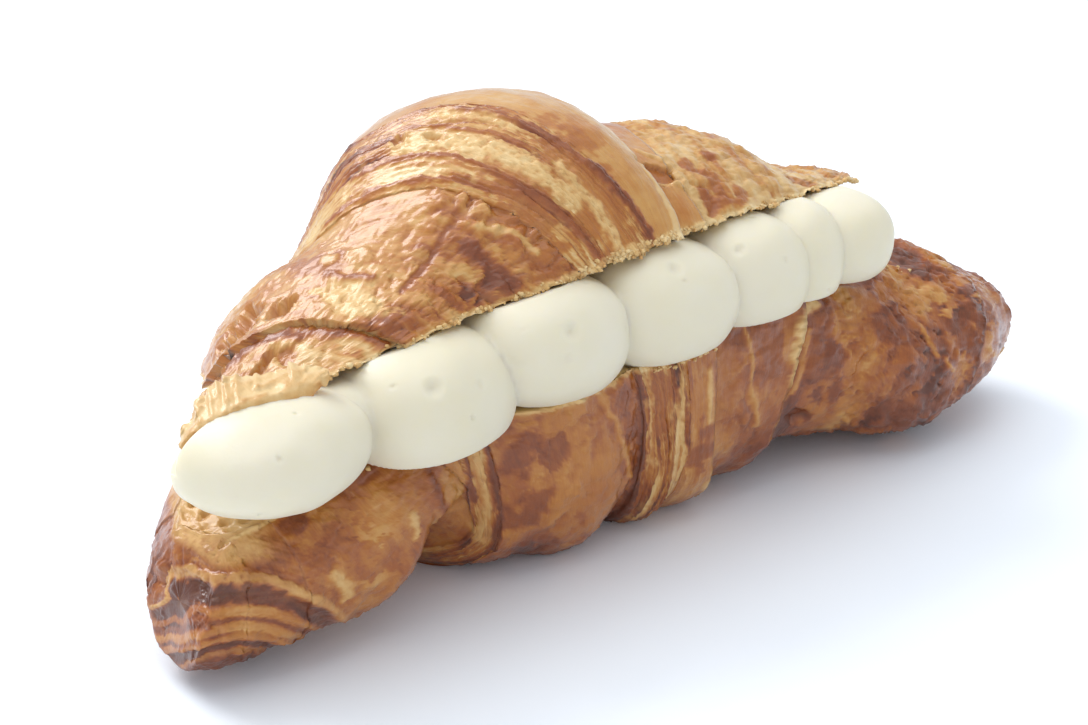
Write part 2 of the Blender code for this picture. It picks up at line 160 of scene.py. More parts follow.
# Ridges and lines on the crust: half width, height, toast, crumb, then station
# and angle of each point along the line.
LID_LINES = (
    (1.9, 0.5, 0.78, 0, (-70, 73, -66.5, 82, -65.5, 88, -63.8, 96, -64, 103)),
    (1.1, 0.7, 0.8, 0, (-63, 107, -62.3, 116, -61.4, 126, -60.8, 136, -59.6, 147)),
    (0.7, 0.3, 0.7, 0, (-54.6, 96, -54.2, 107, -53.4, 119)),
    (1, -0.5, 0.72, 0, (-53, 134, -50, 135.5, -47, 137, -45, 135, -42, 134)),
    (1.5, 0.1, 0.85, 0, (-42.5, 143, -41, 152, -40.3, 160, -39, 165)),
    (1.5, 0.1, 0.7, 0, (-50, 144, -48.5, 152, -47.5, 160)),
    (0.8, 0.3, 0.15, 0.2, (-40, 142, -36, 150, -32, 163)),
    (0.5, 0.25, 0.68, 0, (-43.5, 76, -40.4, 98, -38, 118, -34.5, 138)),
    (0.5, 0.25, 0.7, 0, (-39, 84, -37, 99, -34.7, 113, -31.5, 133, -29, 146)),
    (0.8, 0.35, 0.74, 0, (-29.5, 142, -26, 156, -22, 170, -20, 178)),
    (0.4, 0.2, 0.66, 0, (-37.8, 88, -35.6, 105, -33.4, 118)),
    (2, 0.3, 0.18, 0.8, (-34, 98, -31.4, 114, -28.4, 130, -25, 146, -22.4, 156)),
    (1.4, 0.3, 0.2, 0.8, (-27, 103, -24.6, 116, -22.5, 128)),
    (1.4, 0.2, 0.22, 0.7, (-21.5, 146, -19, 158, -16, 171)),
    (0.5, 0.2, 0.64, 0, (-30.5, 96, -28, 118, -24.6, 134)),
    (1.2, 0.4, 0.74, 0, (-25, 108, -22.6, 122, -19.4, 135, -15.5, 147, -12, 157)),
    (1.5, 0.4, 0.86, 0, (-14, 149, -11, 158, -8.2, 167, -6.4, 174)),
    (0.9, 0.1, 0.1, 0.3, (0, 128, 0.3, 140, 1.4, 150, 2.2, 160, 1.8, 170)),
    (0.6, 0.5, 0.15, 0.2, (2.2, 148, 5, 146, 9.6, 145.5, 11.2, 149, 12.6, 161)),
    (0.7, 0.4, 0.15, 0.2, (7, 130, 10.5, 136, 12.3, 146, 13.6, 161)),
)
BASE_LINES = (
    (1, 0.2, 0.15, 0.2, (-76.4, 173, -75, 186, -74, 197)),
    (0.8, 0.2, 0.15, 0.2, (-62.3, 178, -61.5, 188, -61.8, 193)),
    (0.9, 0.3, 0.78, 0, (-56.8, 166, -56.2, 183, -54, 198)),
    (0.6, 0.35, 0.85, 0, (-53.2, 162, -51, 174, -48.8, 191, -47.2, 202)),
    (0.9, 0.2, 0.25, 0.4, (-51, 163, -49, 174, -46.6, 190, -44.8, 208, -43.8, 221)),
    (0.7, 0.35, 0.9, 0, (-48.2, 166, -46.4, 176, -45, 190, -43, 206, -41.4, 222)),
    (0.8, 0.25, 0.3, 0, (-24, 176, -21, 186, -17, 198, -12, 210)),
    (0.9, 0.4, 0.88, 0, (-13, 176, -12, 186, -10, 200, -8.6, 213, -7, 229, -5.6, 243)),
    (0.9, 0.3, 0.2, 0.5, (-0.4, 176, 0.4, 190, 1.8, 202, 2.6, 212)),
    (0.8, 0.25, 0.15, 0.3, (7.6, 174, 8.2, 191)),
    (0.6, 0.35, 0.12, 0.2, (10.2, 167, 10.2, 186, 11, 201, 11.6, 216, 14, 232)),
    (0.6, 0.25, 0.25, 0, (20.4, 162, 21.4, 175, 22, 188, 24, 203)),
    (1.4, 0.25, 0.12, 0.75, (
        40, 150, 36, 158, 34.2, 166, 32.8, 178, 32, 192, 30.8, 203, 28.4, 221,
    )),
    (0.7, 0.25, 0.3, 0, (37.4, 165, 36, 181, 34, 196)),
    (0.8, 0.4, 0.3, 0, (66.4, 150, 67.6, 160, 69.4, 168)),
    (0.8, 0.4, 0.2, 0, (71.6, 171, 74, 183)),
    (0.8, 0.5, 0.85, 0, (85.6, 140, 83.6, 160, 82, 176, 80.4, 192)),
    (0.8, 0.3, 0.25, 0, (84, 176, 86.4, 188, 90, 200)),
)
# Arched bands on the near end's face: radius, half width, height, toast, crumb.
FOLD_LINES = (
    (19.8, 0.8, 0.5, 0.34, 0.4),
    (17.7, 1.4, 0, 0.97, 0),
    (15.7, 0.6, 0.25, 0.46, 0.05),
    (14.2, 0.4, 0, 0.78, 0),
    (12.9, 0.7, 0.2, 0.4, 0.12),
    (11.2, 0.5, 0.3, 0.44, 0.1),
    (9.4, 0.9, 0, 0.95, 0),
    (7.6, 0.6, -0.35, 0.56, 0.3),
    (4.2, 2.3, 0, 0.88, 0),
)
# Patches: station, angle, half length, half angle, toast, and where they are
# not 0 height and crumb.
LID_PATCHES = (
    (-63, 65, 3.6, 9, 0.46, -2.6),
    (-60, 85, 1.9, 6, 0.44, -2.2),
    (-69.5, 95, 3.4, 3.2, 0.5, -1.6),
    (-70.5, 62, 2.4, 8, 0.5, -1),
    (-68, 104, 1.3, 4.5, 0.58, -0.8),
    (-57.5, 113, 2.8, 19, 0.15, -0.2, 0.8),
    (-52.5, 86, 2.6, 15, 0.62, 0.1),
    (-51.8, 93, 0.9, 5, 0.2, 0.4),
    (-51, 107, 1.2, 5.5, 0.25, 0.4),
    (-33.4, 97.5, 0.9, 2.2, 0.6, -1),
    (-31.4, 108, 0.8, 3.6, 0.6, -1),
    (-10, 136, 5.5, 8, 0.44),
    (-17, 152, 6, 22, 0.56),
    (-30, 150, 5, 18, 0.58),
    # The dark sunk patch below is painted shadow under the flap of the wrap above; its sinking
    # is real relief.
    (5.6, 142, 4.4, 3.6, 0.62, -1),
    (16, 138, 1.8, 4, 0.66),
    (15.5, 155, 2, 5, 0.68),
    (19, 149, 1.6, 7, 0.64),
    (22.4, 134, 1.8, 3, 0.66),
    (23.5, 154, 1.8, 4.5, 0.6),
    (43, 133, 4, 3, 0.58),
)
BASE_PATCHES = (
    (-79, 137, 1.8, 6, 0.8),
    (-67, 141, 3, 5, 0.74),
    (-53, 190, 2.6, 20, 0.3, 0.2),
    (-41.5, 182, 3.6, 10, 0.8),
    (-38, 206, 4.2, 9, 0.78),
    (-34.5, 177.5, 2.6, 5.5, 0.44, 0.25),
    (-29, 175, 1.8, 5, 0.38, 0.25),
    (-30.4, 203.5, 2.4, 4, 0.32, 0.35),
    (-32, 213, 1.6, 2.6, 0.35, 0.3),
    (-27.2, 193, 1.8, 4, 0.38, 0.1),
    (-22, 208, 9, 17, 0.42),
    (-6, 187, 2.6, 11, 0.58),
    (5, 184, 2.6, 9, 0.42),
    (6.4, 203, 2.6, 9, 0.74, 0.1),
    (14.5, 178, 3.6, 12, 0.5),
    (26, 176, 3.4, 12, 0.7),
    (43.6, 176, 3.2, 5, 0.82),
    (44.4, 197, 2.6, 8, 0.84),
    (56, 158, 3.6, 8, 0.8),
    (48, 180, 2, 4.5, 0.45, 0.3),
    (60, 208, 6, 8, 0.8),
    (62.5, 137, 4.5, 8, 0.46, -0.6),
    (68, 138, 1.8, 8, 0.35, 0.3),
    (79, 160, 3.6, 24, 0.84),
    (36, 209, 2.4, 4.4, 0.9, -1.2),
    (53, 143, 3.4, 7, 0.5),
)

# Torn flakes that stand off the crust: width, thickness, toast, crumb, how far
# the upper edge is drawn back, then points along the middle of each.
FLAKE_FACING = (-0.45, -0.75, 0.5)
LID_FLAKES = (
    (6, 0.6, 0.2, 0.4, (3.9, 5.5, -1), (
        (-90.4, -30.4, 41.4), (-88.3, -31, 43.6), (-86, -31.4, 44.9), (-83.3, -32, 45.8),
        (-80.9, -32.4, 46.3), (-76, -32.9, 46.8), (-71, -33, 47.2), (-66.5, -32.4, 47.8),
    )),
)
BASE_FLAKES = (
    (3.6, 0.5, 0.32, 0.3, (0, 0, 0), (
        (89.5, -20.5, 15.6), (92.4, -21.2, 13), (94.2, -21.5, 10.6), (94.8, -21.3, 9),
    )),
)
# Loose crumbs along a cut edge: first and last station, and how many.
LID_CRUMBS = ((-82, -60, 90), (-60, -26, 60), (-26, 2, 150), (2, 20, 30), (20, 58, 90))
BASE_CRUMBS = ((-76, -40, 40), (-6, 12, 160), (20, 70, 50))

# The cream: centre, half length, half depth, half height and yaw of each bulb.
BULBS = (
    (-76.2, -31.2, 37.8, 15.8, 13.6, 8.2, 24),
    (-47, -27.5, 37.2, 15.6, 13.4, 11.4, 20),
    (-24, -27.6, 42.4, 14.2, 13.2, 10.6, 10),
    (0, -26.5, 43.2, 14.2, 13.3, 11, 0),
    (20, -25, 44, 12.2, 12.3, 10.6, -3),
    (32.4, -24.6, 44.4, 8.8, 10.8, 10.2, -5),
    (43.8, -25, 45.8, 9.6, 10.8, 8.4, -6),
)
BULB_POWER = 2.3
# Sideways slope of the run of bulbs at its near end.
CORE_SLOPE = 0.05
# How far the cream keeps behind the lid's edge.
LIP = 0.4
# How far the cut edges wander round the roll, in degrees.
CUT_RAGGED = 1.2
CREAM_RINGS = 420
BULB_STEPS = 120
# Farthest a bulb can reach from the run's middle, and halvings to find it.
BULB_FAR = 24
BULB_HALVINGS = 26
# Least thickness of the run between bulbs, and where its ends round off.
FILL = 6.5
FILL_END = 16
# The wedge behind the bulbs: shares of its run, its back, where its ends are
# blunt, and its least half thickness.
WEDGE_RUN = (0.15, 0.3, 0.45, 0.6, 0.72, 0.85, 0.93, 1)
WEDGE_BACK = 12
BLUNT_REACH = 26
THIN = 0.2
# Dimples in the cream: place, radius and depth.
DIMPLES = (
    ((-52.2, -38.9, 44.1), 1.5, 0.8),
    ((-44.1, -39.3, 42.9), 0.8, 0.35),
    ((-35.3, -36.3, 43.9), 0.7, 0.3),
    ((-26.6, -39.5, 47.7), 1.4, 0.7),
    ((-28.1, -40.5, 44), 0.8, 0.35),
    ((-2.5, -35.2, 52), 1.3, 0.6),
    ((13.7, -32.8, 51.2), 1, 0.5),
)


# Curves of the roll.


def curve(stations, values):
    """Smooth curve through the given points that never overshoots them."""
    xs = np.array(stations, float)
    ys = np.array(values, float)
    rise = np.diff(ys) / np.diff(xs)
    slope = np.zeros_like(ys)
    left, right = rise[:-1], rise[1:]
    same = left * right > 0
    total = np.where(same, left + right, 1.0)
    slope[1:-1] = np.where(same, 2 * left * right / total, 0.0)
    slope[0] = rise[0]
    slope[-1] = rise[-1]

    def value(x):
        x = np.clip(x, xs[0], xs[-1])
        i = np.clip(np.searchsorted(xs, x, side="right") - 1, 0, len(xs) - 2)
        h = xs[i + 1] - xs[i]
        t = (x - xs[i]) / h
        a = ys[i] * (2 * t**3 - 3 * t**2 + 1) + h * slope[i] * (t**3 - 2 * t**2 + t)
        b = ys[i + 1] * (3 * t**2 - 2 * t**3) + h * slope[i + 1] * (t**3 - t**2)
        return a + b

    return value


def soft_curve(stations, values, reach=2.5):
    """The same curve, averaged over a short reach to either side."""
    exact = curve(stations, values)

    def value(x):
        return (exact(x) + exact(x - reach) + exact(x + reach)) / 3

    return value


spine = soft_curve((-88, -60, -30, 0, 45, 95), (-24.5, -14, -4, 0, -4, -15))
half_width = soft_curve(
    (-88, -83, -72, -60, -48, -38, -20, 0, 15, 30, 45, 62, 78, 89, 95),
    (12, 15.5, 19.5, 22.5, 23, 29, 33.5, 33.5, 32, 29, 27.5, 27, 23, 16.5, 9),
)
rear_share = soft_curve((-88, -72, -56, -46, -37, -26, 95), (0.9, 0.92, 1.12, 1.02, 0.84, 1, 1))
lower_power = soft_curve((-88, -64, -46, -30, 95), (2.1, 2, 2.4, 2.6, 2.6))
top_height = soft_curve(
    (-88, -83, -72, -60, -47, -34, -18, -4, 6, 20, 32, 42, 50, 60, 68, 78, 89, 95),
    (
        21, 27, 32.3, 38.5, 47.5, 60, 65.6, 63.6, 57.2, 55.6, 51, 44.6, 41.4, 38.7, 34.2, 32.6,
        28, 24.4,
    ),
)
sole_height = soft_curve(
    (-88, -84, -79, -66, -56, -48, -41, 0, 22, 34, 54, 66, 82, 95),
    (1.2, 0.4, 1.2, 4.5, 7.5, 6, -0.6, -0.8, -0.6, 3, 3, -0.4, 4, 10),
)
cut_height = soft_curve(
    (-90, -75, -60, -40, -15, 0, 20, 35, 50, 60, 64, 72),
    (25.5, 28.4, 30.6, 32, 34, 35.5, 37, 37.5, 37.5, 37, 39, 42),
    1.5,
)
floor_rise = soft_curve(
    (-90, -78, -68, -40, -24, 0, 20, 45, 62, 70),
    (-4, -1.5, 0.5, 0.4, 1.2, 0.6, 1, 1.8, 1.5, 0),
)
lift_angle = soft_curve((-88, -60, -20, 0, 70), (12, 15.5, 18, 18.3, 18.3))


def roll_point(x, angle, relief):
    """Point of the closed roll at station x and angle (degrees)."""
    top = top_height(x)
    sole = sole_height(x)
    middle = sole + (top - sole) * 0.5
    c = np.cos(np.radians(angle))
    s = np.sin(np.radians(angle))
    power = np.where(s > 0, UPPER_POWER, lower_power(x))
    reach = (np.abs(c) ** power + np.abs(s) ** power) ** (-1 / power)
    side = half_width(x) * reach * c * np.where(c > 0, rear_share(x), 1.0)
    rise = np.where(s > 0, top - middle, middle - sole) * reach * s
    grow = 1 + relief / np.maximum(np.hypot(side, rise), 1.0)
    side = side * grow
    height = np.maximum(middle + rise * grow, 0.0)
    bend = spine(x + 0.5) - spine(x - 0.5)
    length = np.sqrt(1 + bend * bend)
    return x - side * bend / length, spine(x) + side / length, height


def cut_floor(x, y):
    """Height of the base's cut face, pressed down behind the hinge line."""
    behind = np.maximum(y - HINGE_Y, 0.0)
    before = unit((FLOOR_EDGE - y) / FLOOR_RUN)
    press = behind * np.tan(np.radians(lift_angle(x)))
    return cut_height(x) - GAP - press + floor_rise(x) * before


def level(x, y):
    """Height of the lid's cut face before the lift."""
    return cut_height(x)


def lift(x, y, z):
    """Lean the lid back about the hinge line."""
    turn = np.radians(lift_angle(x))
    hinge_z = cut_height(x)
    dy = y - HINGE_Y
    dz = z - hinge_z
    lifted_y = HINGE_Y + dy * np.cos(turn) + dz * np.sin(turn)
    lifted_z = hinge_z - dy * np.sin(turn) + dz * np.cos(turn)
    return x, lifted_y, lifted_z


def lid_ceiling(x, y):
    """Height of the lid's cut face after the lift."""
    return cut_height(x) + (HINGE_Y - y) * np.tan(np.radians(lift_angle(x)))


def lid_front(x):
    """Where the lifted lid's cut edge runs along the cream side."""
    top = top_height(x)
    middle = (top + sole_height(x)) * 0.5
    share = unit((cut_height(x) - middle) / (top - middle))
    side = half_width(x) * (1 - share**UPPER_POWER) ** (1 / UPPER_POWER)
    turn = np.radians(lift_angle(x))
    return HINGE_Y + (spine(x) - side - HINGE_Y) * np.cos(turn)


# Noise, the same on every run.


def lattice(i, j, k, seed):
    """Steady random number between 0 and 1 at each point of a grid."""
    n = (i * 73856093) ^ (j * 19349663) ^ (k * 83492791) ^ (seed * 7919 + 101)
    n = n & 0xFFFFFFFF
    n = ((n ^ (n >> 13)) * 1274126177) & 0xFFFFFFFF
    n = ((n ^ (n >> 15)) * 1103515245) & 0xFFFFFFFF
    return (n ^ (n >> 16)) / 4294967296.0


def noise(u, v, w, seed):
    """Smooth noise between -1 and 1, with one bump to a unit."""
    corners = [np.floor(q).astype(np.int64) for q in (u, v, w)]
    ease = []
    for q, corner in zip((u, v, w), corners):
        f = q - corner
        rise = f * f * f * (f * (f * 6 - 15) + 10)
        ease.append((1 - rise, rise))
    total = 0.0
    for a, b, c in product((0, 1), repeat=3):
        weight = ease[0][a] * ease[1][b] * ease[2][c]
        value = lattice(corners[0] + a, corners[1] + b, corners[2] + c, seed)
        total = total + weight * value
    return total * 2 - 1


def layered(u, v, w, seed, octaves=4, fade=0.5):
    """Several sizes of noise added up, still between about -1 and 1."""
    total = 0.0
    weight = 1.0
    whole = 0.0
    for octave in range(octaves):
        scale = 2.03**octave
        total = total + weight * noise(u * scale, v * scale, w * scale, seed + octave)
        whole += weight
        weight *= fade
    return total / whole * 1.6


def cells(u, v, w, seed):
    """Distance to the nearest and next cell centre, and the cell's own number."""
    corners = [np.floor(q).astype(np.int64) for q in (u, v, w)]
    first, second = np.full((2, *u.shape), 9.0)
    owner = np.zeros(u.shape)
    for a, b, c in product((-1, 0, 1), repeat=3):
        i, j, k = corners[0] + a, corners[1] + b, corners[2] + c
        d = (i + lattice(i, j, k, seed) - u) ** 2
        d = d + (j + lattice(i, j, k, seed + 1) - v) ** 2
        d = np.sqrt(d + (k + lattice(i, j, k, seed + 2) - w) ** 2)
        nearer = d < first
        second = np.where(nearer, first, np.minimum(second, d))
        owner = np.where(nearer, lattice(i, j, k, seed + 3), owner)
        first = np.where(nearer, d, first)
    return first, second, owner


def unit(value):
    """The value, held between 0 and 1."""
    return np.clip(value, 0.0, 1.0)


def smooth(value):
    """Ease from 0 to 1, held at 0 and 1 outside that range."""
    value = unit(value)
    return value * value * (3 - 2 * value)


# The crust's surface: arrays over rings and points round them.


def swell(bulges, station, angle):
    """Rise of the roll over its smooth section where it bulges or sinks."""
    total = 0.0 * station
    for place, turn, length, reach, rise in bulges:
        far = ((station - place) / length) ** 2 + ((angle - turn) / reach) ** 2
        total = total + rise * unit(1 - far) ** 2
    return total


def fold_place(x, y, z):
    """Radius and angle about the foot of the near end's face."""
    along = (x - FOLD_FOOT[0]) * FOLD_ALONG[0] + (y - FOLD_FOOT[1]) * FOLD_ALONG[1]
    return np.hypot(along, z), np.degrees(np.arctan2(z, along))


def fold_share(x):
    """1 on the near end, easing to 0 along the roll."""
    start, stop = FOLD_LIMITS
    return unit((stop - x) / (stop - start))


def fold_relief(x, y, z):
    """How far the face steps down inside each arch."""
    radius, _ = fold_place(x, y, z)
    total = 0.0 * x
    for arch, step in FOLDS:
        total = total - step * unit(arch - radius)
    return total * fold_share(x)


def band_relief(band, share):
    """Rise of the crust over the bulged roll across one band."""
    start, end, crown = band[:3]
    return start + (end - start) * share + crown * np.sin(np.pi * share)


def edge_station(edges, number, share, angle):
    """Station of a ring where it passes the given angles."""
    start = curve(*edges[number])(angle)
    end = curve(*edges[number + 1])(angle)
    return start * (1 - share) + end * share


def cut_angle(edges, bands, bulges, number, share, height, start, stop):
    """Angle, from start to stop, where the ring comes down to the cut."""
    angles = np.linspace(start, stop, 361)
    stations = edge_station(edges, number, share, angles)
    relief = band_relief(bands[number], share) + swell(bulges, stations, angles)
    x, y, z = roll_point(stations, angles, relief)
    below = np.nonzero(z <= height(x, y))[0]
    if len(below) == 0:
        return stop
    k = below[0]
    if k == 0:
        return angles[0]
    a = z[k - 1] - height(x[k - 1], y[k - 1])
    b = height(x[k], y[k]) - z[k]
    return angles[k - 1] + (angles[k] - angles[k - 1]) * a / (a + b)


def ring_list(bands, caps):
    """Band, share, turn over the end and side of every ring, end to end."""
    turns = [[math.acos(1 - k / (cap + 1)) for k in range(1, cap + 1)] for cap in caps]
    rings = [(0, 0.0, turn, -1) for turn in reversed(turns[0])]
    for number, band in enumerate(bands):
        rings += [(number, k / (band[3] - 1), 0.0, 0) for k in range(band[3])]
    return rings + [(len(bands) - 1, 1.0, turn, 1) for turn in turns[1]]


def between(first, last, count):
    """Evenly mixed columns between two, without either of them, and their fade."""
    mix = np.linspace(0, 1, count + 2)[1:-1]
    return first * (1 - mix) + last * mix, np.sin(np.pi * mix) ** 0.3


class Skin:
    """Station, angle, band and share of every point, with what is worked out there."""

    def __init__(self, edges, bands, bulges, height, front, rear, spread, caps, back, wind):
        rings = ring_list(bands, caps)
        columns = [np.array(part) for part in zip(*rings)]
        self.number, self.share, self.turn = (part[:, None] for part in columns[:3])
        self.side = columns[3]
        self.bands = bands
        limits = np.array([
            [cut_angle(edges, bands, bulges, *ring[:2], height, *span) for span in (front, rear)]
            for ring in rings
        ])
        starts, stops = limits[:, :1], limits[:, 1:]
        self.spread = spread
        self.count = len(spread)
        round_it = starts + (stops - starts) * spread[None, :]
        behind, _ = between(round_it[:, -1:] + wind[0], round_it[:, :1] + wind[1], back)
        self.angle = np.concatenate([round_it, behind], 1)
        shape = self.angle.shape
        self.station, self.rest, self.relief, self.across = np.zeros((4, *shape))
        self.toast, self.crumb, self.leaf = np.zeros((3, *shape))
        middle = LID_MIDDLE if edges is LID_EDGES else BASE_MIDDLE
        for number, band in enumerate(bands):
            rows = self.number[:, 0] == number
            angle, share = self.angle[rows], self.share[rows]
            station = edge_station(edges, number, share, angle)
            self.station[rows] = station
            self.rest[rows] = band_relief(band, share) + swell(bulges, station, angle)
            self.toast[rows], self.leaf[rows] = band[4:]
            self.across[rows] = edge_station(edges, number, share, np.full_like(angle, middle))
        for part in (self.station, self.rest):
            part[:, self.count:], _ = between(
                part[:, self.count - 1:self.count], part[:, :1], back)
        self.edge = np.full(shape, FAR)
        self.edge[:, :self.count] = ARC * np.minimum(
            round_it - np.minimum(starts, stops), np.maximum(starts, stops) - round_it)
        self.arc = self.angle * ARC

    def settle(self, points, cut):
        """Keep where the bare crust lies, and where it was cut through."""
        self.x, self.y, self.z = (np.array(part) for part in points)
        self.cut = np.zeros_like(self.x)
        self.cut[:, self.count:] = cut

    def mix(self, amount, toast, crumb):
        """Blend a colour in by an amount from 0 to 1."""
        self.toast += (toast - self.toast) * amount
        self.crumb += (crumb - self.crumb) * amount

    def layered(self, size, seed, octaves=4):
        """Layered noise at the points, with bumps of about the given size."""
        return layered(self.x / size, self.y / size, self.z / size, seed, octaves)


def draw_lines(skin, lines, seed):
    """Raise and toast the crust along each line, with an uneven width."""
    wander = skin.layered(3.0, seed, 2) * 0.45
    ragged = skin.layered(0.9, seed + 5, 2) * 0.3
    for width, height, toast, crumb, path in lines:
        points = list(zip(path[::2], path[1::2]))
        nearest = np.full_like(skin.station, FAR)
        for (x0, a0), (x1, a1) in zip(points, points[1:]):
            dx = x1 - x0
            da = (a1 - a0) * ARC
            px = skin.station - x0 + wander
            pa = skin.arc - a0 * ARC
            t = unit((px * dx + pa * da) / (dx * dx + da * da))
            nearest = np.minimum(nearest, np.hypot(px - dx * t, pa - da * t))
        amount = smooth(1.25 - nearest / width + ragged)
        skin.relief += height * amount
        skin.mix(amount * 0.9, toast, crumb)


def draw_folds(skin, seed):
    """Toast and raise the arched bands on the near end's face."""
    radius, turn = fold_place(skin.x, skin.y, skin.z)
    deep = (skin.y - FOLD_FOOT[1]) * FOLD_ALONG[0] - (skin.x - FOLD_FOOT[0]) * FOLD_ALONG[1]
    left = np.minimum(radius * np.cos(np.radians(turn)), 0)
    lean = 0.045 * left**2 * unit(skin.z / 12) ** 2
    radius = np.hypot(radius * np.cos(np.radians(turn)) - lean, skin.z)
    near = fold_share(skin.x) * smooth((FACE_DEEP - deep) / 4)
    wander = skin.layered(6.0, seed, 2) * 0.3
    ragged = skin.layered(1.0, seed + 6, 3) * 0.35
    ends = smooth(np.minimum(turn - 4, 176 - turn) / 10)
    for arch, width, height, toast, crumb in FOLD_LINES:
        amount = smooth((1.2 - np.abs(radius + wander - arch) / width + ragged) * 1.8)
        amount = amount * near * ends
        skin.relief += height * amount
        skin.mix(amount * 0.9, toast, crumb)
    add_layers(skin, radius, turn * 0.3, near * 0.22 * smooth((radius - 9) / 3), seed + 20)


def draw_patches(skin, patches, seed):
    """Raise and toast the crust over each patch, with an uneven edge."""
    ragged = skin.layered(2.6, seed, 4) * 0.6
    for station, angle, length, reach, toast, *more in patches:
        height, crumb = (*more, 0, 0)[:2]
        far = np.hypot((skin.station - station) / length, (skin.angle - angle) / reach)
        steep = 4.0 if height < -0.5 else 2.8
        amount = smooth((1.15 - far + ragged) * steep)
        skin.relief += height * amount
        skin.mix(amount * 0.8, toast, crumb)


def bare_cut(skin, seed):
    """Crumb over the cut face, and none of the crust's relief."""
    skin.relief *= 1 - skin.cut
    pale = 0.35 + 0.65 * smooth((skin.x + 84) / 8)
    skin.mix(skin.cut * pale, 0.28 + 0.2 * skin.layered(5.0, seed, 3), 1.0)


def add_layers(skin, across, along, strength, seed):
    """Thin sheets of dough lapped over each other where the layers show."""
    flat = 0 * across
    wander = 1.0 * noise(across / 5.0, along / 13.0, flat, seed)
    wander = wander + 0.35 * noise(across / 1.6, along / 4.0, flat, seed + 1)
    for width, step, tint in ((1.6, 0.5, 0.17), (0.66, 0.26, 0.2), (0.32, 0.1, 0.12)):
        place = (across + wander) / width + 0.5 * noise(across / 3, along / 22, flat, seed + 2)
        layer = np.floor(place)
        share = place - layer
        own = noise(layer * 0.71 + 0.37, along / 11.0, flat + width, seed + 4) * 1.7
        fall = smooth((share - 0.84) / 0.16)
        skin.relief += strength * step * (share * (1 - fall) - 0.45) * (0.7 + own)
        # Dark line over each sheet's crest and drop: partly its toasted edge, partly painted
        # shade on the drop face.
        line = smooth(1 - np.abs(share - 0.88) / 0.16) * smooth(own * 3 + 0.4)
        skin.toast += strength * (tint * own + 0.9 * tint * line)
        pale = smooth((0.25 - share) * 4) * smooth(-own * 4 - 0.2)
        skin.crumb = np.maximum(skin.crumb, pale * unit(strength) * 0.55)
    rough = skin.layered(0.8, seed + 9, 3)
    open_crumb = smooth(skin.layered(3.2, seed + 12, 3) * 2.4 - 0.9) * unit(strength)
    skin.crumb = np.maximum(skin.crumb, open_crumb * 0.6)
    skin.relief += 0.14 * strength * rough
    skin.toast += 0.12 * strength * rough


def add_blisters(skin, size, height, tint, seed, where=1.0):
    """Low uneven domes, each baked to its own tone, with painted shade darkening the creases
    between them.
    """
    warp = skin.layered(size * 1.3, seed, 2) * 0.55
    first, second, owner = cells(
        skin.x / size + warp, skin.y / size - warp, skin.z / size + warp, seed + 5)
    dome = smooth((second - first) * 2.4)
    skin.relief += height * where * (dome - 0.5) * (0.35 + owner)
    # Each dome's own tone, plus painted shade in the creases between domes.
    skin.toast += where * ((owner - 0.5) * tint + (0.5 - dome) * tint * 0.35)


def add_flaking(skin, size, step, tint, seed, where=1.0):
    """Thin plates of crust with crisp torn edges, one above the other."""
    level = (skin.layered(size, seed, 4) + 0.12 * skin.layered(1.2, seed + 5, 2)) * 3.2
    plate = np.floor(level)
    share = level - plate
    own = noise(plate * 0.63, skin.x / 9, skin.y / 9, seed + 8)
    skin.relief += where * step * (plate + smooth(share / 0.14) - 0.4)
    # Paler along the lip of each step is painted highlight, darker at its foot is painted shade;
    # the rest is each plate's own tone.
    edge = smooth(1 - np.abs(share - 0.16) / 0.13)
    skin.toast += where * tint * (own * 1.6 - 0.5 * edge + 0.6 * smooth(1 - share / 0.07))


def add_mottle(skin, seed):
    """Broad and fine changes of tone, and small bumps of the baked skin."""
    broad = skin.layered(14.0, seed, 3)
    patchy = skin.layered(4.6, seed + 4, 4)
    skin.toast += 0.1 * broad + 0.08 * patchy
    skin.relief += 0.18 * patchy + 0.3 * broad
    skin.relief += 0.05 * skin.layered(1.4, seed + 8, 3)


def add_crumb(skin, seed):
    """Torn, pitted relief where pale crumb shows through the crust, with painted shade inside
    the pits.
    """
    amount = unit(skin.crumb)
    torn = skin.layered(0.8, seed + 9, 3)
    for size, depth in ((1.7, 0.55), (0.95, 0.3)):
        warp = torn * 0.3
        first, _, owner = cells(
            skin.x / size + warp, skin.y / size, skin.z / size - warp, seed)
        hole = smooth((0.5 - first) * 3) * smooth((owner - 0.45) * 6)
        skin.relief -= amount * depth * hole
        # Painted shade darkens the inside of each hole.
        skin.toast += amount * 0.35 * hole
    skin.relief += amount * 0.2 * torn
    skin.toast += amount * 0.14 * torn


def bake(skin, where, blisters, flakes, patches, lines, seed):
    """Blisters and flakes where the crust is plain, then layers, patches and lines."""
    for (height, tint), size, own in zip(blisters, (5.0, 2.2), (12, 18)):
        add_blisters(skin, size, height, tint, seed + own, where)
    add_flaking(skin, 9.0, 0.3, flakes, seed + 20, where)
    add_layers(skin, skin.across, skin.arc, skin.leaf, seed + 26)
    draw_patches(skin, patches, seed + 30)
    draw_lines(skin, lines, seed + 32)


def fray_cut(skin, reach, seed):
    """Crumbly edge where the crust was cut through."""
    cut = skin.cut[:, skin.count + 2:skin.count + 3] * (skin.turn == 0)
    near = smooth(1 - skin.edge / reach) * cut
    torn = skin.layered(1.1, seed, 3)
    skin.relief += near * (0.6 * torn - 0.1)
    skin.angle += near * CUT_RAGGED * skin.layered(2.0, seed + 5, 3)
    skin.crumb = np.maximum(skin.crumb, smooth((near - 0.45 + 0.35 * torn) * 3) * 0.85)
    skin.toast -= near * 0.2


